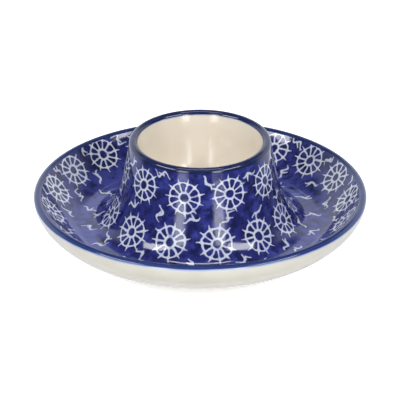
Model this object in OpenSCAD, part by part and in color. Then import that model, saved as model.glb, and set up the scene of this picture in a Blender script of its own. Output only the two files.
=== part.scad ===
// Egg cup with an attached saucer: glazed stoneware, a flared cup standing in a shallow dish.
// Every piece is a ring or a bowl turned about Z, and Z = 0 is the table that the foot ring stands on.

/* [Saucer] */
// Diameter over the lip of the saucer
saucer_d = 125; // [120:1:136]
// Height of the lip of the saucer above the table
saucer_h = 17.9; // [16.5:0.1:21]
// Thickness of the rounded lip
lip_t = 3.2; // [2.6:0.1:4]
// Slope of the inside of the saucer where it meets the lip, in degrees
lip_slope = 56; // [45:1:65]
// How far the lip turns under on the outside, in degrees
lip_turn = 4; // [2:1:15]
// Width of the flat floor of the saucer, between the cup's flare and the saucer's wall
floor_w = 3.7; // [2:0.1:6]
// Thickness of the floor of the saucer, glaze included
floor_t = 4.2; // [3.6:0.1:5]

/* [Cup] */
// Height of the cup above the table
cup_h = 39.9; // [38:0.1:44]
// Inside diameter of the cup at its rim, which an egg rests in
opening_d = 46.8; // [44:0.2:50]
// Thickness of the cup at its rounded rim
rim_t = 3.2; // [2.6:0.1:4]
// Lean of the outside of the cup from upright, in degrees
cup_lean = 9; // [7:0.5:12]
// Length of the straight part of the cup's outside, from its rim down to its flare
straight_wall = 7.6; // [5.5:0.1:10]
// Height of the bottom of the bowl above the table
bowl_floor_h = 8.9; // [8:0.1:11]
// Lean of the inside of the bowl from upright at its rim, in degrees
bowl_lean = 15.5; // [12:0.5:20]
// Thickness of the bowl, glaze included
bowl_t = 4.2; // [3.6:0.1:4.4]
// Radius of the groove under the cup, where the bowl and the wall close
groove_r = 1.3; // [1:0.1:1.6]

/* [Foot] */
// Outside diameter of the foot ring
foot_d = 89; // [87:1:94]
// Width of the foot ring
foot_w = 3.2; // [2.6:0.1:4]
// Height of the floor's underside above the table, inside the foot ring
recess_h = 1.5; // [1.2:0.1:2]
// Height of the foot ring on the outside, up to the glaze
foot_side_h = 1.0; // [0.9:0.05:1.2]
// Slope of the outside of the saucer where it meets the foot ring, in degrees
foot_slope = 18; // [10:1:26]
// Radius of the rounded edges of the foot ring
foot_round = 0.5; // [0.3:0.05:0.7]

/* [Glaze] */
// Thickness of the glaze
glaze_t = 0.25; // [0.15:0.05:0.4]
// Width of the plain blue band below the rim of the cup
band_w = 0.5; // [0.3:0.1:2]
// Place round the lip where the blue meets the cream of the outside, in degrees up from the outside
lip_paint_edge = 60; // [20:5:70]

/* [Hidden] */
$fn = 96;

// Points along each curve and each rounded edge
curve_steps = 18;
turn_steps = 8;

// Shares of a curve's length that its two handles reach
bowl_floor_share = 0.62;
bowl_side_share = 0.45;
flare_top_share = 0.49;
flare_foot_share = 0.24;
well_share = 0.2;
rise_share = 0.5;
outside_top_share = 0.23;
outside_foot_share = 0.31;
hollow_foot_share = 0.3;
hollow_top_share = 0.45;
// Share of the bowl's curve that stands free, below the groove
free_bowl_share = 0.67;

saucer_r = saucer_d / 2;
bowl_r = opening_d / 2;
cup_r = bowl_r + rim_t;
foot_r = foot_d / 2;
foot_in_r = foot_r - foot_w;
well_r = foot_in_r + floor_w;
floor_h = recess_h + floor_t;
rim_r = rim_t / 2;
rim_c = [cup_r - rim_r, cup_h - rim_r];
lip_r = lip_t / 2;
lip_c = [saucer_r - lip_r, saucer_h - lip_r];

// A path is a list of stations. A station is [radius, height, and the direction into the clay].
// Every path is walked so that the clay lies on its right.
function unit(v) = v / norm(v);
function towards(a) = [cos(a), sin(a)];
function station(p, n) = [p[0], p[1], n[0], n[1]];
function place(s) = [s[0], s[1]];
function inward(s) = [s[2], s[3]];
function last(path) = path[len(path) - 1];
function backwards(list) = [for (i = [len(list) - 1 : -1 : 0]) list[i]];
function part_of(list, a, b) = [for (i = [a : 1 : b]) list[i]];

// A straight stretch from p to q
function straight(p, q) =
    let (v = unit(q - p), n = [v[1], -v[0]]) [station(p, n), station(q, n)];

// A curve that leaves p0 towards p1 and comes into p3 from p2
function curve(p0, p1, p2, p3) = [
    for (i = [0 : curve_steps])
        let (
            t = i / curve_steps,
            u = 1 - t,
            p = u * u * u * p0 + 3 * u * u * t * p1 + 3 * u * t * t * p2 + t * t * t * p3,
            v = unit(u * u * (p1 - p0) + 2 * u * t * (p2 - p1) + t * t * (p3 - p2))
        )
        station(p, [v[1], -v[0]])
];

// A rounded edge about the centre c, from angle a0 to a1. For a groove, side is -1.
function turn(c, r, a0, a1, side = 1) = [
    for (i = [0 : turn_steps])
        let (d = towards(a0 + (a1 - a0) * i / turn_steps)) station(c + r * d, -side * d)
];

// Several paths end to end, each shared station kept once
function joined(paths, i = 0) =
    i == len(paths) ? [] :
    concat(part_of(paths[i], i == 0 ? 0 : 1, len(paths[i]) - 1), joined(paths, i + 1));

// The points of a path at a depth below its surface
function at_depth(path, depth) = [for (s = path) place(s) + depth * inward(s)];

// The far face of a wall of thickness t, walked the other way round
function far_face(path, t) =
    backwards([for (s = path) station(place(s) + t * inward(s), -inward(s))]);

// Bowl, from its middle up to the rim
bowl_top = rim_c - rim_r * [cos(bowl_lean), -sin(bowl_lean)];
bowl_rise = bowl_top[1] - bowl_floor_h;
bowl_path = curve(
    [0, bowl_floor_h],
    [bowl_r * bowl_floor_share, bowl_floor_h],
    bowl_top - bowl_rise * bowl_side_share * [sin(bowl_lean), cos(bowl_lean)],
    bowl_top
);
rim_crown_path = turn(rim_c, rim_r, 180 - bowl_lean, 90);
rim_outside_path = turn(rim_c, rim_r, 90, cup_lean);

// Outside of the cup, from the rim down to the floor of the saucer
down_wall = [sin(cup_lean), -cos(cup_lean)];
wall_top = place(last(rim_outside_path));
band_end = wall_top + band_w * down_wall;
flare_top = wall_top + straight_wall * down_wall;
flare_end = [foot_in_r, floor_h];
flare_reach = norm(flare_end - flare_top);
band_path = straight(wall_top, band_end);
wall_path = straight(band_end, flare_top);
flare_path = curve(
    flare_top,
    flare_top + flare_reach * flare_top_share * down_wall,
    flare_end - [flare_reach * flare_foot_share, 0],
    flare_end
);

// Inside of the saucer and its lip
floor_path = straight(flare_end, [well_r, floor_h]);
lip_in = lip_c + lip_r * towards(90 + lip_slope);
rise_reach = norm(lip_in - [well_r, floor_h]);
rise_path = curve(
    [well_r, floor_h],
    [well_r + rise_reach * well_share, floor_h],
    lip_in - rise_reach * rise_share * towards(lip_slope),
    lip_in
);
lip_band_path = turn(lip_c, lip_r, 90 + lip_slope, lip_paint_edge);
lip_under_path = turn(lip_c, lip_r, lip_paint_edge, -lip_turn);

// Outside of the saucer, from the lip down to the foot ring
lip_out = place(last(lip_under_path));
foot_top = [foot_r, foot_side_h];
outside_reach = norm(lip_out - foot_top);
outside_path = curve(
    lip_out,
    lip_out - outside_reach * outside_top_share * [sin(lip_turn), cos(lip_turn)],
    foot_top + outside_reach * outside_foot_share * towards(foot_slope),
    foot_top
);

// Underside: up the hollow inside the flared wall, round the groove and down the outside of the bowl
free_bowl = part_of(bowl_path, 0, round(free_bowl_share * curve_steps));
groove_mouth = last(free_bowl);
groove_c = place(groove_mouth) + (bowl_t + groove_r) * inward(groove_mouth);
groove_end_a = atan2(-inward(groove_mouth)[1], -inward(groove_mouth)[0]);
groove_path = turn(groove_c, groove_r, cup_lean, groove_end_a, -1);
hollow_start = [foot_in_r, recess_h];
hollow_end = place(groove_path[0]);
hollow_reach = norm(hollow_end - hollow_start);
hollow_path = curve(
    hollow_start,
    hollow_start - [hollow_reach * hollow_foot_share, 0],
    hollow_end + hollow_reach * hollow_top_share * down_wall,
    hollow_end
);
bowl_under_path = far_face(free_bowl, bowl_t);

// The top of the groove, where the bowl is luted to the wall
groove_top_i = ceil(turn_steps / 2);
groove_wall_side = part_of(groove_path, 0, groove_top_i);
groove_bowl_side = part_of(groove_path, groove_top_i, turn_steps);

// A coat of glaze over a path, all round
module glaze_over(path) {
    rotate_extrude()
        polygon(concat(at_depth(path, 0), backwards(at_depth(path, glaze_t))));
}

// The clay between two faces, all round, less the glaze on both
module clay_between(face, back) {
    rotate_extrude()
        polygon(concat(at_depth(face, glaze_t), at_depth(back, glaze_t)));
}

// Bare ring that stands on the table
module foot_ring() {
    outer_round = turn([foot_r - foot_round, foot_round], foot_round, 0, -90);
    inner_round = turn([foot_in_r + foot_round, foot_round], foot_round, -90, -180);
    joint = [last(outside_path), hollow_path[0]];
    color("tan")
        rotate_extrude()
            polygon(concat(
                [foot_top],
                at_depth(joint, glaze_t),
                [hollow_start],
                backwards(at_depth(concat(outer_round, inner_round), 0))
            ));
}

// Dish round the cup
module saucer() {
    color("wheat")
        clay_between(
            joined([floor_path, rise_path, lip_band_path, lip_under_path, outside_path]),
            [hollow_path[0]]
        );
}

// Outer wall of the cup, flaring into the floor of the saucer
module cup_wall() {
    color("wheat")
        clay_between(
            joined([rim_outside_path, band_path, wall_path, flare_path]),
            joined([hollow_path, groove_wall_side])
        );
}

// Bowl that the egg sits in
module egg_bowl() {
    color("wheat")
        clay_between(
            joined([bowl_path, rim_crown_path]),
            joined([groove_bowl_side, bowl_under_path])
        );
}

// Cobalt ground with the stamped flowers, from the rim band out to the lip band
module stamped_blue_glaze() {
    color("royalblue") glaze_over(joined([wall_path, flare_path, floor_path, rise_path]));
}

// Plain slate blue band round the lip of the saucer
module saucer_lip_band() {
    color("steelblue") glaze_over(lip_band_path);
}

// Plain slate blue band round the rim of the cup
module cup_rim_band() {
    color("steelblue") glaze_over(joined([rim_crown_path, rim_outside_path, band_path]));
}

// Cream glaze inside the bowl
module bowl_glaze() {
    color("ivory") glaze_over(bowl_path);
}

// Cream glaze on the outside of the saucer
module outside_glaze() {
    color("ivory") glaze_over(joined([lip_under_path, outside_path]));
}

// Cream glaze in the hollow under the cup
module underside_glaze() {
    color("ivory") glaze_over(joined([hollow_path, groove_path, bowl_under_path]));
}

foot_ring();
saucer();
cup_wall();
egg_bowl();
stamped_blue_glaze();
saucer_lip_band();
cup_rim_band();
bowl_glaze();
outside_glaze();
underside_glaze();
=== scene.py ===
# %% [markdown]
# # A glazed egg cup that stands in its own saucer
#
# The real thing is one piece of fired stoneware: a small flared cup, open at the top for an egg, in the
# middle of a shallow dish. A sponge gave it a mottled cobalt ground, stamps gave it rings of open white
# flowers, a brush gave both lips a slate blue band, and a clear glaze covers everything but the ring
# that it stands on. This script dresses the packed model, one piece for each coat of glaze.

# %% Load the packed frame
import math

import bpy
import numpy as np
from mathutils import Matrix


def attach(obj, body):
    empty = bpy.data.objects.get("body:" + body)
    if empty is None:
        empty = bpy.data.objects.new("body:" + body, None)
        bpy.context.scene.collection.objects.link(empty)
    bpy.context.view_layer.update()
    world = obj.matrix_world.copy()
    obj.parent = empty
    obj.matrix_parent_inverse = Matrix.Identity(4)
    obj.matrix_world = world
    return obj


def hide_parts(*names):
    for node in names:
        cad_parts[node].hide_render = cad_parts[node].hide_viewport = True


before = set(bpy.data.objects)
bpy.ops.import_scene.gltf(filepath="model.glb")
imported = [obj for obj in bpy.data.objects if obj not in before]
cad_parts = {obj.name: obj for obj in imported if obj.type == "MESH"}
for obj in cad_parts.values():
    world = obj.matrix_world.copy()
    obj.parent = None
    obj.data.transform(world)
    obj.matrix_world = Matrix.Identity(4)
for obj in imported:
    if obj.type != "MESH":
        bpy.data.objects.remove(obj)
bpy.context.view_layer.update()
TAU = math.tau
MM = 0.001


print("nodes:", sorted(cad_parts))

# %% [markdown]
# ## The camera
#
# The photograph was taken with a long lens from a little above, so both lips are nearly true ellipses.
# The camera could be moved by eye until the picture agrees. Here its distance, tilt and focal length
# were fitted to those two ellipses and to the outline of the whole, so it can be set before there is
# anything to look at, and every later step can be compared with the photograph.

# %% Set up the camera
# Distances are in metres, and the focal length and the offset in pixels of the picture.
LOOK_DOWN = math.radians(26.56)
CAMERA_AWAY = 1.8
AIM_HEIGHT = 14.27 * MM
FRAME_PIXELS = 400
FOCAL_PIXELS = 4788
PICTURE_OFFSET = -0.15
NEAREST_SEEN = 0.05

camera_data = bpy.data.cameras.new("photo_camera")
camera_data.sensor_fit = "HORIZONTAL"
camera_data.lens = FOCAL_PIXELS / FRAME_PIXELS * camera_data.sensor_width
camera_data.shift_x = PICTURE_OFFSET / FRAME_PIXELS
camera_data.clip_start = NEAREST_SEEN
camera = bpy.data.objects.new("photo_camera", camera_data)
bpy.context.collection.objects.link(camera)
camera_back = CAMERA_AWAY * math.cos(LOOK_DOWN)
camera_up = CAMERA_AWAY * math.sin(LOOK_DOWN) + AIM_HEIGHT
camera.location = (0, -camera_back, camera_up)
camera.rotation_euler = (math.pi / 2 - LOOK_DOWN, 0, 0)
bpy.context.scene.camera = camera
print("lens in mm:", round(camera_data.lens, 1))

# %% [markdown]
# ## The outline that every piece shares
#
# A potter turns this shape on a wheel, so one outline, drawn from the middle of the bowl out to the foot,
# says everything about it. It could be traced as a curve object in the viewport, but the pieces must
# share exact borders, so it is written as a chain of stations in millimetres: radius and height.
# Lips are arcs. Between them lie cubic curves that take over the direction of their neighbours, except
# at the foot ring, because a kink would show at once in a mirror-like glaze.

# %% Helpers that make stations
CURVE_GAP, STRAIGHT_GAP = 0.55, 0.8
CURVE_OVER_STRAIGHT = 1.1
OUTWARD = np.array([1.0, 0.0])


def direction(degrees):
    return np.array([math.cos(math.radians(degrees)), math.sin(math.radians(degrees))])


def curve(start, handle_a, handle_b, end, gap=CURVE_GAP):
    """Stations along a cubic curve, about gap millimetres apart."""
    start, handle_a, handle_b, end = (np.array(p, float) for p in (start, handle_a, handle_b, end))
    steps = max(4, round(np.linalg.norm(end - start) * CURVE_OVER_STRAIGHT / gap))
    t = np.linspace(0, 1, steps + 1)[:, None]
    u = 1 - t
    return u**3 * start + 3 * u * u * t * handle_a + 3 * u * t * t * handle_b + t**3 * end


def smooth_join(start, leaving, end, arriving, pulls):
    """A curve between two ends with a direction at each, both in the sense of the walk.

    pulls are the lengths of its two handles, as shares of the straight distance between the ends.
    """
    reach = np.linalg.norm(end - start)
    return curve(start, start + reach * pulls[0] * leaving, end - reach * pulls[1] * arriving, end)


def arc(centre, radius, begin, finish, steps):
    return np.array([centre + radius * direction(a) for a in np.linspace(begin, finish, steps + 1)])


def straight(start, end):
    steps = max(1, round(np.linalg.norm(np.array(end) - start) / STRAIGHT_GAP))
    t = np.linspace(0, 1, steps + 1)[:, None]
    return (1 - t) * np.array(start, float) + t * np.array(end, float)


def chain(*paths):
    """Paths end to end, each shared station kept once."""
    return np.vstack([paths[0]] + [p[1:] for p in paths[1:]])


print("a quarter round in 8 steps has", len(arc(np.zeros(2), 1.0, 0, 90, steps=8)), "stations")

# %% [markdown]
# The sizes are those of the packed model: _R is a radius, _H a height above the table, _T a thickness,
# _W a width, all in millimetres, and a lean, slope or turn is in degrees. How far a curve's handles
# reach is given as shares. One stretch departs from the model on purpose: the outside of the saucer is
# up to a millimetre fuller here, because it leaves the foot at a flatter slope, as the photograph shows.

# %% The bowl, the rim and the cup's wall
CUP_H, CUP_LEAN, CUP_STRAIGHT = 39.9, 9.0, 7.6
BOWL_R, BOWL_FLOOR_H, BOWL_LEAN, RIM_R = 23.4, 8.9, 15.5, 1.6
BOWL_FLAT, BOWL_PULL = 0.62, 0.45
BAND_W, GLAZE_T = 0.5, 0.25

rim_centre = np.array([BOWL_R + RIM_R, CUP_H - RIM_R])
down_wall = np.array([math.sin(math.radians(CUP_LEAN)), -math.cos(math.radians(CUP_LEAN))])
bowl_top = rim_centre + RIM_R * direction(180 - BOWL_LEAN)
bowl_rise = bowl_top[1] - BOWL_FLOOR_H
bowl_points = [
    (0, BOWL_FLOOR_H),
    (BOWL_R * BOWL_FLAT, BOWL_FLOOR_H),
    bowl_top - bowl_rise * BOWL_PULL * direction(90 - BOWL_LEAN),
    bowl_top,
]
bowl_path = curve(*bowl_points)
rim_over = arc(rim_centre, RIM_R, 180 - BOWL_LEAN, CUP_LEAN, steps=20)

wall_top = rim_over[-1]
band_end = wall_top + BAND_W * down_wall
flare_top = wall_top + CUP_STRAIGHT * down_wall
band_path = straight(wall_top, band_end)
wall_path = straight(band_end, flare_top)
print("stations of bowl, rim and wall:", len(bowl_path), len(rim_over), len(wall_path))

# %% The flare, the dish and its lip
SAUCER_R, SAUCER_H, LIP_R = 62.5, 17.9, 1.6
FOOT_R, FOOT_W, FOOT_SIDE_H, FOOT_SLOPE = 44.5, 3.2, 1.0, 10
FLOOR_H, FLOOR_W = 5.7, 3.7
LIP_SLOPE, LIP_TURN, LIP_EDGE = 56, 4, 60

foot_in_r = FOOT_R - FOOT_W
lip_centre = np.array([SAUCER_R - LIP_R, SAUCER_H - LIP_R])
lip_in = lip_centre + LIP_R * direction(90 + LIP_SLOPE)
floor_in = np.array([foot_in_r, FLOOR_H])
floor_out = np.array([foot_in_r + FLOOR_W, FLOOR_H])
flare_path = smooth_join(flare_top, down_wall, floor_in, OUTWARD, pulls=(0.49, 0.24))
floor_path = straight(floor_in, floor_out)
rise_path = smooth_join(floor_out, OUTWARD, lip_in, direction(LIP_SLOPE), pulls=(0.2, 0.5))
lip_over = arc(lip_centre, LIP_R, 90 + LIP_SLOPE, LIP_EDGE, steps=16)
lip_under = arc(lip_centre, LIP_R, LIP_EDGE, -LIP_TURN, steps=6)

lip_out = lip_under[-1]
foot_top = np.array([FOOT_R, FOOT_SIDE_H])
outside_path = smooth_join(
    lip_out, -direction(90 - LIP_TURN), foot_top, -direction(FOOT_SLOPE), pulls=(0.3, 0.31)
)
print("stations of flare, rise and outside:", len(flare_path), len(rise_path), len(outside_path))

# %% [markdown]
# The photograph doesn't show the underside. It has what such pieces have: a hollow inside the foot ring,
# with the bottom of the bowl hanging free in it, and a rounded groove where the bowl meets the wall. The
# bowl is of one thickness there, so its outside is its inside, moved into the clay station by station.

# %% The underside
# FREE_BOWL is the share of the bowl's curve, from its bottom, that hangs free.
RECESS_H, BOWL_T, GROOVE_R = 1.5, 4.2, 1.3
FREE_BOWL = 12 / 18
FREE_BOWL_GAP = 0.2


def into_clay(path):
    """The direction into the clay at each station: to the right of the walk from the bowl to the foot."""
    step = np.gradient(path, axis=0)
    step /= np.linalg.norm(step, axis=1)[:, None]
    return np.column_stack([step[:, 1], -step[:, 0]])


free_bowl = curve(*bowl_points, gap=FREE_BOWL_GAP)
free_bowl = free_bowl[:round(FREE_BOWL * (len(free_bowl) - 1)) + 1]
bowl_under = (free_bowl + BOWL_T * into_clay(free_bowl))[::-1]
touch_normal = into_clay(free_bowl)[-1]
groove_centre = free_bowl[-1] + (BOWL_T + GROOVE_R) * touch_normal
groove_turn = math.degrees(math.atan2(-touch_normal[1], -touch_normal[0]))
groove_path = arc(groove_centre, GROOVE_R, CUP_LEAN, groove_turn, steps=12)
hollow_start = np.array([foot_in_r, RECESS_H])
hollow_path = smooth_join(hollow_start, -OUTWARD, groove_path[0], -down_wall, pulls=(0.3, 0.45))
bowl_under[-1][0] = 0
print("groove centre:", np.round(groove_centre, 2))
print("stations of hollow, groove and bowl:", len(hollow_path), len(groove_path), len(bowl_under))

# %% [markdown]
# ## Turning an outline into a piece
#
# Blender's spin tool is the potter's wheel. A plane is merged to one point, the point is extruded from
# station to station to draw the outline of the coat's section, and the outline is spun once round Z. A
# Screw modifier would do the same, but spin leaves plain faces that can be checked and cleaned at once.

# %% A helper that spins a section
SPIN_STEPS = 240
SAME_STATION, SAME_POINT = MM / 1000, MM / 200
SMOOTH_BELOW = math.radians(35)


def spin_section(name, section):
    """A closed piece turned from a section, a list of (radius, height) in millimetres."""
    bpy.ops.object.select_all(action="DESELECT")
    bpy.ops.mesh.primitive_plane_add(size=MM)
    piece = bpy.context.object
    piece.name = piece.data.name = name
    bpy.ops.object.mode_set(mode="EDIT")
    bpy.ops.mesh.select_all(action="SELECT")
    bpy.ops.mesh.merge(type="CENTER")
    here = np.zeros(2)
    for i, station in enumerate(list(section) + [section[0]]):
        move = (station - here) * MM
        value = {"value": (move[0], 0, move[1])}
        if i == 0:
            bpy.ops.transform.translate(**value)
        else:
            bpy.ops.mesh.extrude_region_move(TRANSFORM_OT_translate=value)
        here = station
    bpy.ops.mesh.select_all(action="SELECT")
    bpy.ops.mesh.remove_doubles(threshold=SAME_STATION)
    bpy.ops.mesh.select_all(action="SELECT")
    bpy.ops.mesh.spin(steps=SPIN_STEPS, angle=TAU, center=(0, 0, 0), axis=(0, 0, 1))
    bpy.ops.mesh.select_all(action="SELECT")
    bpy.ops.mesh.remove_doubles(threshold=SAME_POINT)
    bpy.ops.mesh.select_all(action="SELECT")
    bpy.ops.mesh.normals_make_consistent(inside=False)
    bpy.ops.object.mode_set(mode="OBJECT")
    bpy.ops.object.shade_smooth_by_angle(angle=SMOOTH_BELOW)
    print(name, "has", len(piece.data.polygons), "faces")
    return piece


# %% [markdown]
# A coat is closed too: it has an outer face, and a face that touches the clay a quarter of a millimetre
# below, with fewer stations, because nobody sees it. Each point of a coat also remembers how far along
# the outline it lies, so that a finish can be painted in rings that follow the surface.

# %% A helper that makes a coat of glaze
HIDDEN_EVERY = 3


def step_lengths(path):
    return np.linalg.norm(np.diff(path, axis=0), axis=1)


def measure_along(piece, path):
    """Keep on each vertex how far along the path it lies, in millimetres."""
    so_far = np.concatenate([[0], np.cumsum(step_lengths(path))])
    spots = np.empty(len(piece.data.vertices) * 3)
    piece.data.vertices.foreach_get("co", spots)
    spots = spots.reshape(-1, 3) / MM
    flat = np.column_stack([np.hypot(spots[:, 0], spots[:, 1]), spots[:, 2]])
    nearest = np.argmin(((flat[:, None, :] - path[None]) ** 2).sum(2), axis=1)
    attribute = piece.data.attributes.new("along", "FLOAT", "POINT")
    attribute.data.foreach_set("value", so_far[nearest].astype(np.float32))
    print("  its outline is", round(float(so_far[-1]), 1), "mm long")


def coat(name, path):
    """A coat of glaze over a path."""
    keep = sorted(set(range(0, len(path), HIDDEN_EVERY)) | {len(path) - 1})
    inner = (path + GLAZE_T * into_clay(path))[keep][::-1]
    inner[:, 0] = np.maximum(inner[:, 0], 0)
    piece = spin_section(name, np.vstack([path, inner]))
    measure_along(piece, path)
    return piece


# %% [markdown]
# ## The coats of glaze
#
# The stamped coat runs from under the cup's rim, down the wall, through the flare and across the dish to
# the lip. It could be one piece for each ring of stamps, but a seam would show as a break in the
# reflections, so it is a single piece.

# %% The stamped coat
stamped_path = chain(wall_path, flare_path, floor_path, rise_path)
stamped = coat("stamped_coat", stamped_path)

# %% [markdown]
# The two lips are painted with a brush, apart from the rest. They could be a change of colour on the
# stamped coat, but each is a node of its own in the packed model, so each is a coat of its own here. It
# meets the stamped coat on one side and the cream on the other.

# %% The lip bands
lip_band = coat("lip_band", lip_over)
rim_band = coat("rim_band", chain(rim_over, band_path))

# %% [markdown]
# Three coats are cream: inside the bowl, outside the saucer, and in the hollow under the cup. The
# hollow is never seen when the cup stands, but it is there when the cup is picked up. They are made by
# the same helper as the others, because glaze lies equally thick everywhere.

# %% The cream coats
bowl_coat = coat("bowl_coat", bowl_path)
outside_coat = coat("outside_coat", chain(lip_under, outside_path))
under_coat = coat("under_coat", chain(hollow_path, groove_path, bowl_under[1:]))

# %% [markdown]
# ## The foot ring
#
# The ring that touches the table is wiped free of glaze before the firing, so it doesn't stick to the
# shelf of the kiln. The same wipe rounds its two edges. A Bevel modifier could round them, but the ring
# is turned like the rest, so two small arcs in its section do it.

# %% The bare foot ring
FOOT_ROUND = 0.5
outer_edge = arc(np.array([FOOT_R - FOOT_ROUND, FOOT_ROUND]), FOOT_ROUND, 0, -90, steps=6)
inner_edge = arc(np.array([foot_in_r + FOOT_ROUND, FOOT_ROUND]), FOOT_ROUND, -90, -180, steps=6)
outside_normal = into_clay(outside_path)[-1]
foot_section = np.vstack([
    [foot_top, foot_top + GLAZE_T * outside_normal, [foot_in_r, RECESS_H + GLAZE_T], hollow_start],
    inner_edge[::-1], outer_edge[::-1],
])
foot = spin_section("foot_ring_bare", foot_section)

# %% [markdown]
# ## Writing a material as a formula
#
# Every finish here is a chain of nodes. Placing them by hand in the shader editor is how one would try
# things; in a script it reads better as arithmetic, so a small class lets sockets be added, subtracted,
# multiplied and divided, and each sign becomes one Math node.

# %% A socket that can be reckoned with
class Wire:
    """An output socket of a node tree, with arithmetic that adds Math nodes to the tree."""

    def __init__(self, tree, socket):
        self.tree, self.socket = tree, socket

    def math(self, operation, *others):
        node = self.tree.nodes.new("ShaderNodeMath")
        node.operation = operation
        for slot, value in zip(node.inputs, (self, *others)):
            plug(self.tree, slot, value)
        return Wire(self.tree, node.outputs[0])

    def __add__(self, other):
        return self.math("ADD", other)

    def __sub__(self, other):
        return self.math("SUBTRACT", other)

    def __mul__(self, other):
        return self.math("MULTIPLY", other)

    def __truediv__(self, other):
        return self.math("DIVIDE", other)

    def __neg__(self):
        return self.math("MULTIPLY", -1.0)

    def ramp(self, low, high, to_low=0.0, to_high=1.0):
        """A soft step from to_low, at low, to to_high, at high. low may be the greater of the two."""
        node = self.tree.nodes.new("ShaderNodeMapRange")
        node.interpolation_type = "SMOOTHSTEP"
        for slot, value in zip(node.inputs[:5], (self, low, high, to_low, to_high)):
            plug(self.tree, slot, value)
        return Wire(self.tree, node.outputs[0])


def plug(tree, slot, value):
    """Give an input socket a wire or a plain value."""
    if isinstance(value, Wire):
        tree.links.new(value.socket, slot)
    else:
        slot.default_value = value


def smallest(wires, blend=0.0):
    """The least of several distances, with corners softened over blend."""
    result = wires[0]
    for w in wires[1:]:
        result = result.math("SMOOTH_MIN", w, blend) if blend else result.math("MINIMUM", w)
    return result


print("a wire knows:", [name for name in vars(Wire) if not name.startswith("__")])

# %% [markdown]
# A colour is given as an eye reads it on a screen, from 0 to 255, while a shader reckons with the amount
# of light. The curve between the two is the one that screens use. The node that mixes two colours has
# its amount and colours at sockets 0, 6 and 7, because it has others for plain numbers and vectors.

# %% Colours
def paint(red, green, blue):
    """A colour from 0 to 255, turned into the light values that a shader needs."""
    parts = [c / 255 for c in (red, green, blue)]
    return [c / 12.92 if c <= 0.04045 else ((c + 0.055) / 1.055) ** 2.4 for c in parts] + [1.0]


def mix(tree, amount, first, second):
    """The first colour where amount is 0, the second where it is 1."""
    node = tree.nodes.new("ShaderNodeMix")
    node.data_type = "RGBA"
    for slot, value in zip((node.inputs[0], node.inputs[6], node.inputs[7]), (amount, first, second)):
        plug(tree, slot, value)
    return Wire(tree, node.outputs[2])


def colour_parts(tree, socket):
    split = tree.nodes.new("ShaderNodeSeparateColor")
    tree.links.new(socket, split.inputs[0])
    return [Wire(tree, out) for out in split.outputs]


print("a middle grey of 128 gives light", round(paint(128, 128, 128)[0], 3))

# %% [markdown]
# A pattern needs to know where it is. Object coordinates give the place on the piece in metres, which is
# turned into millimetres, so that every size in a finish below can be read off a real cup.

# %% Where a point lies on the piece
def spot(tree):
    """The point's place in millimetres, its angle round Z, its radius, and how far along it lies."""
    place = tree.nodes.new("ShaderNodeTexCoord")
    scale = tree.nodes.new("ShaderNodeVectorMath")
    scale.operation = "SCALE"
    scale.inputs["Scale"].default_value = 1 / MM
    tree.links.new(place.outputs["Object"], scale.inputs[0])
    parts = tree.nodes.new("ShaderNodeSeparateXYZ")
    tree.links.new(scale.outputs[0], parts.inputs[0])
    x, y = Wire(tree, parts.outputs["X"]), Wire(tree, parts.outputs["Y"])
    radius = (x * x + y * y).math("SQRT")
    angle = y.math("ARCTAN2", x)
    kept = tree.nodes.new("ShaderNodeAttribute")
    kept.attribute_name = "along"
    return Wire(tree, scale.outputs[0]), angle, radius, Wire(tree, kept.outputs["Fac"])


def joined_vector(tree, x, y, z=0.0):
    node = tree.nodes.new("ShaderNodeCombineXYZ")
    for slot, value in zip(node.inputs, (x, y, z)):
        plug(tree, slot, value)
    return Wire(tree, node.outputs[0])


def noise_node(tree, where, size, detail, rough):
    node = tree.nodes.new("ShaderNodeTexNoise")
    plug(tree, node.inputs["Vector"], where)
    node.inputs["Scale"].default_value = 1 / size
    node.inputs["Detail"].default_value = detail
    node.inputs["Roughness"].default_value = rough
    return node


def noise(tree, where, size, detail, rough=0.5):
    """Cloudy noise about 0.5, whose lumps are about size millimetres across."""
    return Wire(tree, noise_node(tree, where, size, detail, rough).outputs["Fac"])


# %% [markdown]
# All the finishes start from the same shader. Fired glaze bends light about as window glass does. What
# the light does on it then depends on two things that change from place to place: how rough it is, and
# the shallow waves in which it set.

# %% What all finishes share
REFRACTION = 1.5


def new_material(name):
    material = bpy.data.materials.new(name)
    material.use_nodes = True
    shader = material.node_tree.nodes["Principled BSDF"]
    shader.inputs["IOR"].default_value = REFRACTION
    return material, material.node_tree, shader


def sheen_patches(tree, shader, where, size, smoothest, roughest):
    """Roughness that wanders between two values, in patches about size millimetres across."""
    patches = noise(tree, where, size, 2).ramp(0.3, 0.7, smoothest, roughest)
    plug(tree, shader.inputs["Roughness"], patches)


def waves(tree, where, swell, ripple):
    """A long swell and a fine ripple, each given as a size in millimetres and an amount."""
    return noise(tree, where, swell[0], 1) * swell[1] + noise(tree, where, ripple[0], 1) * ripple[1]


def relief(tree, shader, height, depth):
    """Waves in the surface, from a height whose step from 0 to 1 stands for depth millimetres."""
    node = tree.nodes.new("ShaderNodeBump")
    node.inputs["Strength"].default_value = 1.0
    node.inputs["Distance"].default_value = depth * MM
    plug(tree, node.inputs["Height"], height)
    tree.links.new(node.outputs["Normal"], shader.inputs["Normal"])


print("every finish bends light by", REFRACTION)

# %% [markdown]
# ## The stamped flowers
#
# On the real cup each flower is pressed on with a cut stamp, ring by ring, so the flowers of one ring are
# alike but no two sit at quite the same height or turn. An image could hold them, but a formula stays
# sharp at any size: the ring is cut into equal cells by angle, each cell draws its own shift and turn
# from a white noise of the cell's number, and a flower is a distance in millimetres to its nearest line,
# below 0 inside the white.

# %% Cells of a ring
CELL_STEP = 3.17
SHIFT_UP = 1.4


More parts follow.
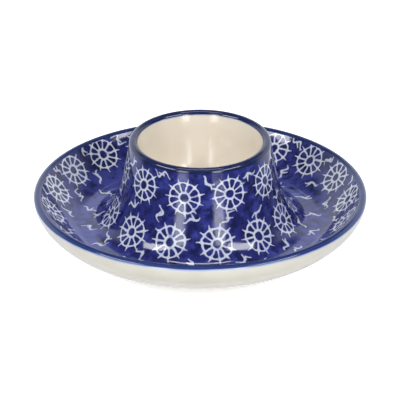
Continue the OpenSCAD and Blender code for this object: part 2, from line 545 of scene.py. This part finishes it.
def ring_cells(tree, angle, radius, along, count, middle, start, seed, shift):
    """Flat coordinates x and y in millimetres about the middle of each cell, and its three chances.

    The ring has count cells, lies middle millimetres along the outline and is turned back by start
    degrees. shift is how many millimetres apart the middles may stray sideways.
    """
    turns = (angle / TAU + (1 + start / 360)).math("FRACT") * count
    cell = turns.math("FLOOR")
    white = tree.nodes.new("ShaderNodeTexWhiteNoise")
    white.noise_dimensions = "1D"
    plug(tree, white.inputs["W"], cell * CELL_STEP + seed)
    chance = colour_parts(tree, white.outputs["Color"])
    x = (turns - cell - 0.5) * (TAU / count) * radius + (chance[0] - 0.5) * shift
    y = along - middle + (chance[1] - 0.5) * shift * SHIFT_UP
    return x, y, chance


def turned(x, y, angle):
    cos, sin = angle.math("COSINE"), angle.math("SINE")
    return x * cos - y * sin, x * sin + y * cos


print("a cell draws its chances from its number times", CELL_STEP, "and its ring's seed")

# %% [markdown]
# The stamp is a white disc with a round eye and eleven windows cut out of it. A window has the shape of
# a petal: it widens outwards, and its corners are rounder there. What is left between two windows is a
# spoke, and a short tick that tapers stands on the disc's rim in line with each spoke.

# %% A flower
PETALS, EYE_R, FLOWER_R = 11, 1.6, 6.0
WINDOW_IN, WINDOW_OUT = 2.4, 5.5
CORNER_IN, CORNER_OUT = 0.2, 0.85
HALF_SPOKE = 0.27
TICK_LONG, TICK_SUNK = 1.25, 0.3
HALF_TICK_FOOT, HALF_TICK_TIP = 0.42, 0.1
INK_JOIN = 0.3
WHOLE_TURNS = 100


def flower(x, y, turn):
    """Distance in millimetres to the white of an open flower that is turned by the angle turn."""
    out = (x * x + y * y).math("SQRT")
    bearing = y.math("ARCTAN2", x) + turn
    place = (bearing * (PETALS / TAU) + (WHOLE_TURNS + 0.5)).math("FRACT")
    from_spoke = (place - 0.5).math("ABSOLUTE")

    across = out * ((from_spoke * -1.0 + 0.5) * (TAU / PETALS)).math("SINE")
    middle, half = (WINDOW_IN + WINDOW_OUT) / 2, (WINDOW_OUT - WINDOW_IN) / 2
    corner = out.ramp(WINDOW_IN, WINDOW_OUT, CORNER_IN, CORNER_OUT)
    past_side = across - out * math.sin(TAU / 2 / PETALS) + corner + HALF_SPOKE
    past_side = past_side.math("MAXIMUM", 0.0)
    past_end = ((out - middle).math("ABSOLUTE") + corner - half).math("MAXIMUM", 0.0)
    window = (past_end * past_end + past_side * past_side).math("SQRT") - corner
    disc = (out - FLOWER_R).math("MAXIMUM", out * -1.0 + EYE_R).math("MAXIMUM", -window)

    width = out.ramp(FLOWER_R - TICK_SUNK, FLOWER_R + TICK_LONG, HALF_TICK_FOOT, HALF_TICK_TIP)
    tick = out * (from_spoke * (TAU / PETALS)).math("SINE") - width
    beyond = (out - (FLOWER_R + TICK_LONG / 2)).math("ABSOLUTE") - (TICK_LONG / 2 + TICK_SUNK)
    return smallest([disc, tick.math("MAXIMUM", beyond)], INK_JOIN)


print("a flower is", 2 * (FLOWER_R + TICK_LONG), "mm over its ticks")

# %% [markdown]
# Between the rings of flowers the real cup has small loose marks, each a bent twig with a side shoot.
# They could be drawn one by one, but as distances they are laid out in cells as the flowers are, and
# the bend and the turn of each come from its cell's three chances.

# %% A sprig
SPRIG_SCALE = 0.88
HALF_TWIG, HALF_SHOOT = 2.9, 1.2
TWIG_TAPER, SHOOT_TAPER = (0.4, 3.0), (0.2, 2.3)
TWIG_WIDTH, SHOOT_WIDTH = (0.47, 0.24), (0.42, 0.18)
BEND_PER_MM, BEND_START = 1.5, 6.0
BEND_LEAST, BEND_MORE = 0.4, 0.7
SHOOT_X, SHOOT_Y, SHOOT_MIDDLE = 0.7, 0.2, 1.1
SHOOT_TURN_LEAST, SHOOT_TURN_MORE = 0.9, 2.2
SPRIG_JOIN = 0.4


def sprig(x, y, chance):
    """Distance to a bent twig with a side shoot, each one bent and turned by its own chances."""
    u, v = turned(x * SPRIG_SCALE, y * SPRIG_SCALE, chance[2] * TAU)
    bend = (u * BEND_PER_MM + chance[0] * BEND_START).math("SINE") * (chance[1] * BEND_MORE + BEND_LEAST)
    from_middle = u.math("ABSOLUTE")
    twig = (v - bend).math("ABSOLUTE") - from_middle.ramp(*TWIG_TAPER, *TWIG_WIDTH)
    twig = twig.math("MAXIMUM", from_middle - HALF_TWIG)
    p, q = turned(u - SHOOT_X, v - SHOOT_Y, chance[1] * SHOOT_TURN_MORE + SHOOT_TURN_LEAST)
    shoot = q.math("ABSOLUTE") - p.ramp(*SHOOT_TAPER, *SHOOT_WIDTH)
    shoot = shoot.math("MAXIMUM", (p - SHOOT_MIDDLE).math("ABSOLUTE") - HALF_SHOOT)
    return smallest([twig, shoot], SPRIG_JOIN)


print("a twig is", round(2 * HALF_TWIG / SPRIG_SCALE, 1), "mm long")

# %% [markdown]
# The rings were counted and placed on the photograph: so many flowers or sprigs, at such a distance
# along the outline from the cup's band. The rings could be stamped as evenly as tiles, but a hand isn't
# that even, so a slow wander bends every print, and the stamp is pressed a little harder in front.

# %% The white of all rings together
# A row: count, millimetres along the outline, degrees turned back, seed, and for flowers how many
# millimetres bolder the lines are in front.
FLOWER_RINGS = (
    (10, 8.7, 13, 4.0, 0.0),
    (12, 26.9, 5, 19.0, 0.06),
    (20, 54.5, 4, 31.0, 0.18),
)
SPRIG_RINGS = (
    (10, 2.6, 31, 7.0),
    (14, 17.2, 31, 11.0),
    (12, 34.0, 20, 13.0),
    (18, 39.2, 3, 17.0),
    (20, 46.6, 13, 23.0),
    (20, 59.6, 13, 29.0),
)
FLOWER_SHIFT, SPRIG_SHIFT = 1.0, 1.4
DRIFT_SIZE, DRIFT_REACH = 4.0, 1.3
RAGGED_SIZE, RAGGED_REACH = 1.0, 0.4
FLOWER_EDGE, SPRIG_EDGE = (-0.2, 0.16), (-0.22, 0.16)
SPRIG_WHITE = 0.88


def printed_white(tree, where, angle, radius, along):
    """How white the stamps leave each point, from 0 to 1."""
    ragged = (noise(tree, where, RAGGED_SIZE, 2) - 0.5) * RAGGED_REACH
    wander = noise_node(tree, where, DRIFT_SIZE, 1.0, 0.5).outputs["Color"]
    drift = [(part - 0.5) * DRIFT_REACH for part in colour_parts(tree, wander)[:2]]
    front = angle.math("SINE") * -0.5 + 0.5
    flowers, sprigs = [], []
    for *ring, bold in FLOWER_RINGS:
        x, y, chance = ring_cells(tree, angle, radius, along, *ring, FLOWER_SHIFT)
        flowers.append(flower(x + drift[0], y + drift[1], chance[2] * TAU) - front * bold)
    for ring in SPRIG_RINGS:
        x, y, chance = ring_cells(tree, angle, radius, along, *ring, SPRIG_SHIFT)
        sprigs.append(sprig(x + drift[0], y + drift[1], chance))
    line = (smallest(flowers) + ragged).ramp(*FLOWER_EDGE, 1.0, 0.0)
    return line.math("MAXIMUM", (smallest(sprigs) + ragged).ramp(*SPRIG_EDGE, SPRIG_WHITE, 0.0))


print("flowers:", sum(ring[0] for ring in FLOWER_RINGS), "sprigs:", sum(ring[0] for ring in SPRIG_RINGS))

# %% [markdown]
# ## The cobalt ground
#
# The ground is dabbed on with a sponge: darker and lighter clouds a few millimetres across with a fine
# grain in them, under a clear glaze that is almost a mirror. Clouds are noises of different sizes, as a
# sponge has holes of different sizes. Where the flare ends and the dish begins, the ground is painted a
# little lighter, a painted sheen of the pale room mirrored there. On the dish the prints are painted
# whiter than on the cup, painted light for the light that falls on the flat of the dish. The prints thin
# out where the stamp lifted.

# %% The stamped glaze material
NAVY = paint(16, 19, 66)
COBALT = paint(33, 38, 108)
COBALT_LIGHT = paint(54, 61, 136)
STAMP_WHITE = paint(192, 198, 214)
STAMP_THIN = paint(150, 160, 200)
# The prints on the dish are painted whiter than on the cup: painted light, for the light that falls from
# above on the flat of the dish.
PAINTED_LIGHT_WHITE = paint(228, 232, 241)
# The ground is painted lighter, a painted sheen, over the first stretch of the outline, and the painted
# sheen fades over the second, down to the share left.
PAINTED_SHEEN_GROWS_OVER, PAINTED_SHEEN_FADES_OVER = (33.0, 40.0), (47.0, 53.0)
PAINTED_SHEEN_BY, PAINTED_SHEEN_LEFT = 0.12, 0.2
PAINTED_LIGHT_WHITE_OVER, PAINTED_LIGHT_WHITE_SHARE = (38.0, 50.0), 0.6
CLOUD_SIZE, PATCH_SIZE, GRAIN_SIZE = 3.2, 9.0, 0.45
BLUE_GLOSS, BLUE_RELIEF = (4.0, 0.07, 0.13), 0.12
BLUE_SWELL, BLUE_RIPPLE, PRINT_RAISED = (6.0, 0.8), (1.1, 0.06), 0.05


def sponged_ground(tree, where, along):
    cloud = noise(tree, where, CLOUD_SIZE, 3, 0.6)
    patch = noise(tree, where, PATCH_SIZE, 2)
    grain = noise(tree, where, GRAIN_SIZE, 2)
    ground = mix(tree, (cloud * 0.75 + grain * 0.25).ramp(0.36, 0.58), NAVY, COBALT)
    # Painted sheen: the ground is painted lighter at the foot of the flare and on the flat of the dish.
    painted_sheen = along.ramp(*PAINTED_SHEEN_GROWS_OVER, 0.0, PAINTED_SHEEN_BY) * along.ramp(*PAINTED_SHEEN_FADES_OVER, 1.0, PAINTED_SHEEN_LEFT)
    light = (cloud * 0.5 + patch * 0.5 + painted_sheen).ramp(0.5, 0.68)
    return mix(tree, light, ground, COBALT_LIGHT)


def stamped_material():
    material, tree, shader = new_material("stamped_cobalt_glaze")
    where, angle, radius, along = spot(tree)
    line = printed_white(tree, where, angle, radius, along)
    pressed = noise(tree, where, 2.6, 2).ramp(0.3, 0.52, 0.45, 1.0)
    ground = sponged_ground(tree, where, along)
    white = mix(tree, pressed, STAMP_THIN, STAMP_WHITE)
    # Painted light: the prints turn whiter on the dish.
    white = mix(tree, along.ramp(*PAINTED_LIGHT_WHITE_OVER, 0.0, PAINTED_LIGHT_WHITE_SHARE), white, PAINTED_LIGHT_WHITE)
    colour = mix(tree, line * pressed.ramp(0.4, 0.7, 0.82, 1.0), ground, white)
    plug(tree, shader.inputs["Base Color"], colour)
    sheen_patches(tree, shader, where, *BLUE_GLOSS)
    wave = waves(tree, where, BLUE_SWELL, BLUE_RIPPLE) + line * PRINT_RAISED
    relief(tree, shader, wave, BLUE_RELIEF)
    return material


stamped.data.materials.append(stamped_material())
print("stamped material has", len(stamped.data.materials[0].node_tree.nodes), "nodes")

# %% [markdown]
# ## Lips, cream and bare clay
#
# A brush leaves streaks that run round the lip, darker where the stroke is thick. An image of a stroke
# could do it, but noise that is drawn out round Z has such streaks at any size. It breaks once, at the
# left, where the angle starts again, as a stroke does where the brush comes back to its beginning.

# %% The band material
SLATE = paint(34, 51, 106)
SLATE_THICK = paint(20, 28, 68)
RIM_SLATE = paint(24, 36, 80)
RIM_SLATE_THICK = paint(14, 21, 54)
BAND_RELIEF = 0.08


def band_material(name, tint, thick):
    """Brushed slate blue, streaked round Z, of colour tint and darker where the stroke is thick."""
    material, tree, shader = new_material(name)
    where, angle, radius, along = spot(tree)
    streaks = noise(tree, joined_vector(tree, angle * 9.0, along * 2.4, radius * 0.2), 1.0, 3, 0.6)
    plug(tree, shader.inputs["Base Color"], mix(tree, streaks.ramp(0.32, 0.66), thick, tint))
    sheen_patches(tree, shader, where, *BLUE_GLOSS)
    relief(tree, shader, noise(tree, where, 5.0, 1), BAND_RELIEF)
    return material


lip_band.data.materials.append(band_material("lip_slate_glaze", SLATE, SLATE_THICK))
rim_band.data.materials.append(band_material("rim_slate_glaze", RIM_SLATE, RIM_SLATE_THICK))
print("bands:", lip_band.data.materials[0].name, rim_band.data.materials[0].name)

# %% [markdown]
# The cream is a tin white glaze over buff clay, so it has a few brown specks. Low in the bowl and low on
# the outside it is painted paler: painted light, where less light reaches. The brush also ran over both
# lips, so the blue goes on for a millimetre or two into the cream and bleeds, outside the saucer and
# inside the rim. The lights in the bowl break off under the rim, so the wall is probably a little steeper
# there. A real ring of that depth would cut through the thin coat, so a slow rise in the relief stands
# for it.

# %% The cream material
SPECK = paint(150, 120, 90)
# Painted light: the cream is painted paler low in the bowl and low on the outside, where less light
# reaches.
PAINTED_LIGHT_CREAM = paint(242, 233, 219)
BLED_BLUE = paint(156, 168, 202)
CREAM_GLOSS, CREAM_RELIEF = (5.0, 0.09, 0.14), 0.08
CREAM_SWELL, CREAM_RIPPLE = (7.0, 0.9), (1.2, 0.04)
PAINTED_LIGHT_PALER, SPECK_DARKER = 0.7, 0.4
RING_RISE = 3.0
FRINGE_LUMPS, FRINGE_WANDER = 4.0, 0.6


def with_fringe(tree, colour, angle, along, fringe, uneven):
    """The colour with a painted edge over it, bleeding out by the brush's own wander."""
    side, ahead = angle.math("COSINE"), angle.math("SINE")
    wander = noise(tree, joined_vector(tree, side * FRINGE_LUMPS, ahead * FRINGE_LUMPS), 1.0, 2) - 0.5
    bleed = (along - side * side * uneven + wander * FRINGE_WANDER).ramp(*fringe, 1.0, 0.0)
    blue = mix(tree, bleed.ramp(0.7, 1.0), BLED_BLUE, SLATE)
    return mix(tree, bleed.ramp(0.0, 0.6), colour, blue)


def cream_material(name, tint, shade, fringe=None, uneven=0.0, painted_light=None, ring=None):
    """Cream glaze with specks, clouded between tint and shade.

    fringe, the painted light's pair, and ring are each a pair of places along the outline: where a
    painted blue edge begins to thin and where it has bled out, where the painted light leaves the cream
    palest and where it is plain, and where the wall begins and ends to be steeper. The brush reached
    uneven millimetres further at the sides.
    """
    material, tree, shader = new_material(name)
    where, angle, _, along = spot(tree)
    colour = mix(tree, noise(tree, where, 9.0, 2).ramp(0.3, 0.7), tint, shade)
    # Painted light: paler cream where less light reaches, low in the bowl and low on the outside.
    if painted_light:
        colour = mix(tree, along.ramp(*painted_light, PAINTED_LIGHT_PALER, 0.0), colour, PAINTED_LIGHT_CREAM)
    specks = noise(tree, where, 0.55, 1).ramp(0.74, 0.8)
    colour = mix(tree, specks * SPECK_DARKER, colour, SPECK)
    if fringe:
        colour = with_fringe(tree, colour, angle, along, fringe, uneven)
    plug(tree, shader.inputs["Base Color"], colour)
    sheen_patches(tree, shader, where, *CREAM_GLOSS)
    wave = waves(tree, where, CREAM_SWELL, CREAM_RIPPLE)
    if ring:
        wave = wave + along.ramp(*ring, 0.0, RING_RISE)
    relief(tree, shader, wave, CREAM_RELIEF)
    return material


# %% The three cream coats
BOWL_LONG = float(step_lengths(bowl_path).sum())
bowl_cream = cream_material(
    "bowl_cream_glaze", paint(211, 202, 188), paint(207, 198, 183),
    fringe=(BOWL_LONG + 0.2, BOWL_LONG - 0.7),
    painted_light=(BOWL_LONG - 26, BOWL_LONG - 5),
    ring=(BOWL_LONG - 10, BOWL_LONG - 2.2),
)
outside_cream = cream_material(
    "outside_cream_glaze", paint(204, 202, 192), paint(200, 197, 187),
    fringe=(0.65, 2.0), uneven=0.6, painted_light=(22.0, 3.0),
)
under_cream = cream_material("under_cream_glaze", paint(222, 217, 204), paint(212, 205, 190))
bowl_coat.data.materials.append(bowl_cream)
outside_coat.data.materials.append(outside_cream)
under_coat.data.materials.append(under_cream)
print("the bowl's outline is", round(BOWL_LONG, 1), "mm long")

# %% [markdown]
# The bare ring shows the clay itself: buff, dry to the touch, with a dark grain. The clay under the
# glaze gets the same finish in a warmer buff. Nobody sees it, but the packed model keeps it, and a plain
# grey there would show if a coat were ever lifted off.

# %% The clay material
GRIT = paint(112, 84, 62)
CLAY_RELIEF = 0.06


def clay_material(name, tint, shade):
    material, tree, shader = new_material(name)
    where = spot(tree)[0]
    grain = noise(tree, where, 0.35, 3, 0.7)
    colour = mix(tree, noise(tree, where, 3.5, 3).ramp(0.35, 0.65), tint, shade)
    colour = mix(tree, grain.ramp(0.62, 0.72) * 0.6, colour, GRIT)
    plug(tree, shader.inputs["Base Color"], colour)
    plug(tree, shader.inputs["Roughness"], grain.ramp(0.3, 0.7, 0.75, 0.95))
    relief(tree, shader, grain, CLAY_RELIEF)
    return material


foot.data.materials.append(clay_material("bare_clay", paint(206, 196, 176), paint(192, 180, 158)))
covered_clay = clay_material("covered_clay", paint(206, 186, 158), paint(192, 170, 140))
for node_name in ("saucer", "cup_wall", "egg_bowl"):
    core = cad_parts[node_name]
    for material_slot in core.material_slots:
        material_slot.material = covered_clay
print("materials:", sorted(m.name for m in bpy.data.materials))

# %% [markdown]
# ## Every piece takes its place
#
# Nothing moves on this object, so every piece rides on the one body and stands for its own coat of the
# packed model, whose node is hidden.

# %% Ride and replace
for piece, node_name, slot_name in (
    (stamped, "stamped_blue_glaze", "cobalt_glaze"),
    (lip_band, "saucer_lip_band", "slate_blue_glaze"),
    (rim_band, "cup_rim_band", "slate_blue_glaze"),
    (bowl_coat, "bowl_glaze", "cream_glaze"),
    (outside_coat, "outside_glaze", "cream_glaze"),
    (under_coat, "underside_glaze", "cream_glaze"),
    (foot, "foot_ring", "bare_clay"),
):
    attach(piece, "root")
    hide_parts(node_name)
    print(piece.name, "stands for", node_name)

# %% [markdown]
# ## The studio
#
# The photograph has a white ground all round. A floor that is bright enough to look white would also
# light the cup from below and wash it out, so the floor is a light grey to every ray but the camera's
# own, for which it glows a little more. It still takes the cup's shadow.

# %% The floor
FLOOR_SIZE = 6
FLOOR_GREY = (0.8, 0.8, 0.8, 1)
FLOOR_GLOW = 0.6


def white_floor():
    material = bpy.data.materials.new("white_floor")
    material.use_nodes = True
    tree = material.node_tree
    tree.nodes.clear()
    out = tree.nodes.new("ShaderNodeOutputMaterial")
    matte = tree.nodes.new("ShaderNodeBsdfDiffuse")
    matte.inputs["Color"].default_value = FLOOR_GREY
    glow = tree.nodes.new("ShaderNodeEmission")
    glow.inputs["Strength"].default_value = FLOOR_GLOW
    rays = tree.nodes.new("ShaderNodeLightPath")
    both = tree.nodes.new("ShaderNodeAddShader")
    chosen = tree.nodes.new("ShaderNodeMixShader")
    tree.links.new(matte.outputs[0], both.inputs[0])
    tree.links.new(glow.outputs[0], both.inputs[1])
    tree.links.new(rays.outputs["Is Camera Ray"], chosen.inputs[0])
    tree.links.new(matte.outputs[0], chosen.inputs[1])
    tree.links.new(both.outputs[0], chosen.inputs[2])
    tree.links.new(chosen.outputs[0], out.inputs["Surface"])
    return material


bpy.ops.object.select_all(action="DESELECT")
bpy.ops.mesh.primitive_plane_add(size=FLOOR_SIZE)
floor = bpy.context.object
floor.name = "floor"
floor.data.materials.append(white_floor())
print("floor is", FLOOR_SIZE, "m wide")

# %% [markdown]
# Two tall soft lights stand in front, one on each side of the camera. They draw the pale stripes on the
# cup, which have a soft halo and a brighter core, so each light is two panels, one behind the other. The
# glaze shows them once more, dim and low, as a smooth table top would mirror them. A mirror-like floor
# would mirror the cup as well, so two dim panels below the floor stand for their images, and mirrored
# rays don't see the floor. Two panels at the sides and a bar overhead make the small lights on the dish
# and the rims, and a fill from behind that isn't mirrored keeps the back of the cup from going dark.

# %% The lights
# A row: name, azimuth and elevation in degrees, distance, width and height in metres, power in watts.
LIGHTS = (
    ("left_strip", -26.5, 12.5, 1.0, (0.3, 0.65), 1.4),
    ("left_strip_core", -26.5, 12.5, 0.99, (0.2, 0.6), 1.6),
    ("right_strip", 26, 12.5, 1.0, (0.3, 0.65), 1.4),
    ("right_strip_core", 26, 12.5, 0.99, (0.2, 0.6), 1.6),
    ("left_strip_mirrored", -26.5, -12, 1.0, (0.3, 0.15), 0.5),
    ("right_strip_mirrored", 26, -12, 1.0, (0.3, 0.15), 0.5),
    ("left_panel", -59, 34, 1.0, (0.5, 0.22), 4.1),
    ("right_panel", 54, 33, 1.0, (0.52, 0.22), 4.2),
    ("top_panel", 0, 86, 1.2, (0.8, 0.13), 3.9),
    ("back_fill", 180, 48, 1.2, (1.0, 0.6), 5.0),
)
LIT_HEIGHT = 0.02


def soft_light(name, azimuth, elevation, away, size, power):
    """A soft panel that faces the cup. azimuth 0 is the camera's side, and grows to the right."""
    data = bpy.data.lights.new(name, "AREA")
    data.shape = "RECTANGLE"
    data.size, data.size_y = size
    data.energy = power
    light = bpy.data.objects.new(name, data)
    bpy.context.collection.objects.link(light)
    a, e = math.radians(azimuth), math.radians(elevation)
    sideways, back = away * math.sin(a) * math.cos(e), away * math.cos(a) * math.cos(e)
    light.location = (sideways, -back, away * math.sin(e) + LIT_HEIGHT)
    light.rotation_euler = (math.pi / 2 - e, 0, a)
    return light


lights = {row[0]: soft_light(*row) for row in LIGHTS}
lights["back_fill"].visible_glossy = False
floor.visible_glossy = False
print("lights:", list(lights))

# %% [markdown]
# The room itself gives a faint even light, and the camera sees it as plain white. What the glaze mirrors
# is a third thing: behind the cup the room is white up to some thirty degrees above the table, and the
# dish and the rims mirror that, a little blue as daylight is. A picture of a studio could do this, but
# two soft steps, one across the room and one up it, are enough.

# %% The room
ROOM_LIGHT = 0.2
BEHIND_FROM, BEHIND_FULL = 0.05, 0.4
WHITE_BELOW, DARK_ABOVE = 0.48, 0.62
UNDER_FROM, UNDER_FULL, UNDER_DIM = -0.4, -0.65, 0.62
PLAIN_WHITE = (1, 1, 1, 1)
COOL_WHITE = (0.93, 0.98, 1.08, 1)


def white_room():
    room = bpy.data.worlds.new("white_room")
    room.use_nodes = True
    tree = room.node_tree
    background = tree.nodes["Background"]
    rays = tree.nodes.new("ShaderNodeLightPath")
    way = tree.nodes.new("ShaderNodeTexCoord")
    split = tree.nodes.new("ShaderNodeSeparateXYZ")
    tree.links.new(way.outputs["Generated"], split.inputs[0])
    backwards, height = Wire(tree, split.outputs["Y"]), Wire(tree, split.outputs["Z"])
    low = height.ramp(WHITE_BELOW, DARK_ABOVE, 1.0, 0.0)
    low = low * height.ramp(UNDER_FULL, UNDER_FROM, UNDER_DIM, 1.0)
    behind = backwards.ramp(BEHIND_FROM, BEHIND_FULL) * low
    seen = Wire(tree, rays.outputs["Is Camera Ray"])
    mirrored = Wire(tree, rays.outputs["Is Glossy Ray"])
    level = (mirrored * behind + ROOM_LIGHT).math("MAXIMUM", seen)
    plug(tree, background.inputs["Strength"], level)
    plug(tree, background.inputs["Color"], mix(tree, mirrored, PLAIN_WHITE, COOL_WHITE))
    return room


bpy.context.scene.world = white_room()
bpy.context.scene.view_settings.view_transform = "Standard"
print("room light:", ROOM_LIGHT)

# %% [markdown]
# ## The end
